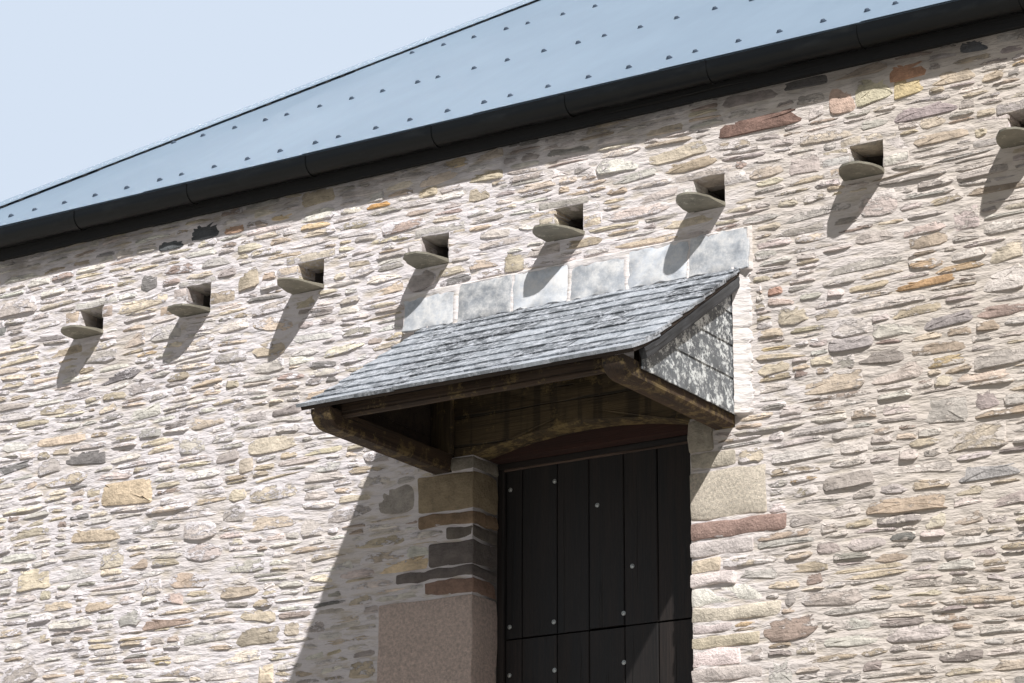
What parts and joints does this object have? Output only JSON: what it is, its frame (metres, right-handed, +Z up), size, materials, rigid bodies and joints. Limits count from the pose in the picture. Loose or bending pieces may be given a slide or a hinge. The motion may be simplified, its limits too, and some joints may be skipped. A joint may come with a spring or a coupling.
{
  "type": "stone barn with pigeon holes under the eaves",
  "caption": "Two-storey rubble-stone barn with a row of pigeon holes and slate perches under the eaves, a slate hood over its upper door, a hipped sheet roof and gutters.",
  "frame": {"origin": "ground level, in the middle of the bounding box of the whole building", "axes": "+X runs right along the front wall as seen from in front, +Y runs from the front wall to the rear wall, +Z is up"},
  "size_m": [8.688, 6.68, 8.3667],
  "materials": {
    "rubble_stone": "rough split rubble in lime mortar",
    "granite": "rough dressed granite",
    "slate": "riven slate with lichen",
    "lime_mortar": "trowelled lime mortar",
    "roof_sheet": "satin coated sheet",
    "black_gutter": "semi-gloss black",
    "door_boards": "dark stained softwood boards",
    "old_timber": "weathered sawn timber"
  },
  "bodies": {
    "root": {"arched_lintel": "old_timber", "door_frame": "old_timber", "door_leaf_lower": "door_boards", "door_leaf_upper": "door_boards", "door_threshold": "granite", "doorway_lintels": "old_timber", "fascias": "old_timber", "floor_boards": "old_timber", "floor_joists": "old_timber", "front_roof_slope": "roof_sheet", "front_wall_lower_left": "rubble_stone", "front_wall_lower_right": "rubble_stone", "front_wall_over_doorway": "rubble_stone", "front_wall_over_upper_door": "rubble_stone", "front_wall_top": "rubble_stone", "front_wall_upper_left": "rubble_stone", "front_wall_upper_right": "rubble_stone", "gutter_brackets": "black_gutter", "gutters": "black_gutter", "hip_caps": "roof_sheet", "hood_brackets": "old_timber", "hood_cheeks": "slate", "hood_flashing": "slate", "hood_front_beam": "old_timber", "hood_mortar_fillets": "lime_mortar", "hood_rafters": "old_timber", "hood_roof": "slate", "inner_lintels": "old_timber", "left_roof_slope": "roof_sheet", "left_wall_lower": "rubble_stone", "left_wall_upper": "rubble_stone", "pigeon_hole_backing": "rubble_stone", "pigeon_hole_piers": "rubble_stone", "pigeon_perches": "slate", "purlins": "old_timber", "rafters": "old_timber", "rear_roof_slope": "roof_sheet", "rear_wall_lower": "rubble_stone", "rear_wall_upper": "rubble_stone", "ridge_cap": "roof_sheet", "right_roof_slope": "roof_sheet", "right_wall_lower": "rubble_stone", "right_wall_upper": "rubble_stone", "wall_plates": "old_timber"}
  },
  "joints": []
}
